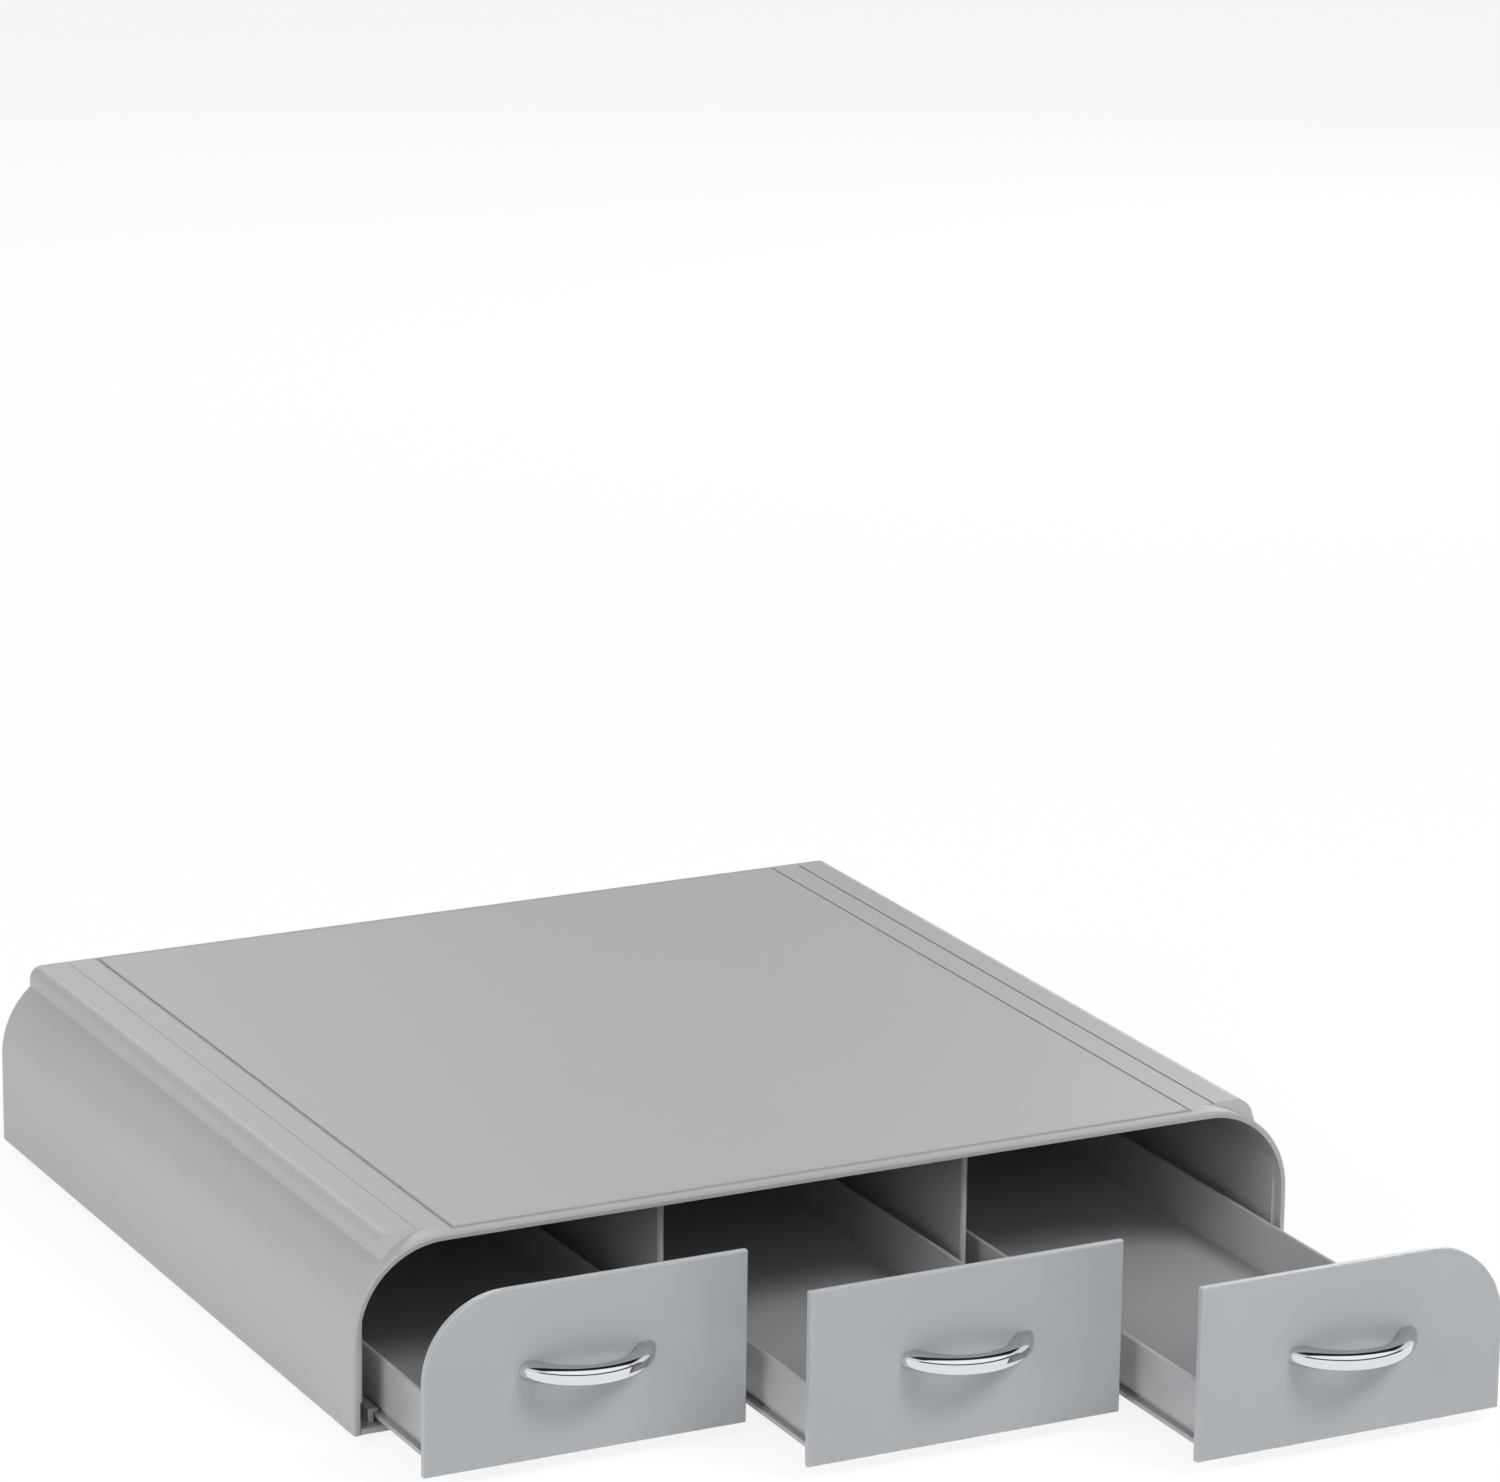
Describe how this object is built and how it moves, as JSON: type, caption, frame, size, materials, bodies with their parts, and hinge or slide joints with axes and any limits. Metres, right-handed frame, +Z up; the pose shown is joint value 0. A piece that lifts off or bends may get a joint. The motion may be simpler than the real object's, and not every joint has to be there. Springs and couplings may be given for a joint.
{
  "type": "coffee pod drawer organiser",
  "caption": "Low moulded plastic organiser with side by side sliding drawers for coffee pods, bow handles and a flat deck that a coffee maker stands on.",
  "frame": {"origin": "on the surface the object stands on, under the middle of its whole length with the drawers drawn out as in the picture", "axes": "+X to the right seen from the front, +Y from the drawer handles to the back wall, +Z up"},
  "size_m": [0.342, 0.4675, 0.0664],
  "materials": {
    "case_plastic": "fine satin grain",
    "tray_plastic": "satin",
    "front_plastic": "smooth satin",
    "chrome": "polished plate",
    "steel": "zinc plated",
    "rubber": "matt"
  },
  "bodies": {
    "housing": {"housing_shell": "case_plastic", "base_plate": "case_plastic", "divider_left": "case_plastic", "divider_right": "case_plastic", "base_screws": "steel", "foot_front_left": "rubber", "foot_front_right": "rubber", "foot_back_left": "rubber", "foot_back_right": "rubber"},
    "left_drawer": {"tray_left": "tray_plastic", "drawer_front_left": "front_plastic", "handle_left": "chrome", "handle_screws_left": "steel"},
    "centre_drawer": {"tray_centre": "tray_plastic", "drawer_front_centre": "front_plastic", "handle_centre": "chrome", "handle_screws_centre": "steel"},
    "right_drawer": {"tray_right": "tray_plastic", "drawer_front_right": "front_plastic", "handle_right": "chrome", "handle_screws_right": "steel"}
  },
  "joints": [
    {"name": "left_drawer_slide", "type": "slide", "parent": "housing", "child": "left_drawer", "axis": [0, -1, 0], "range_m": [-0.0465, 0.2085]},
    {"name": "centre_drawer_slide", "type": "slide", "parent": "housing", "child": "centre_drawer", "axis": [0, -1, 0], "range_m": [-0.0888, 0.1662]},
    {"name": "right_drawer_slide", "type": "slide", "parent": "housing", "child": "right_drawer", "axis": [0, -1, 0], "range_m": [-0.137, 0.118]}
  ]
}
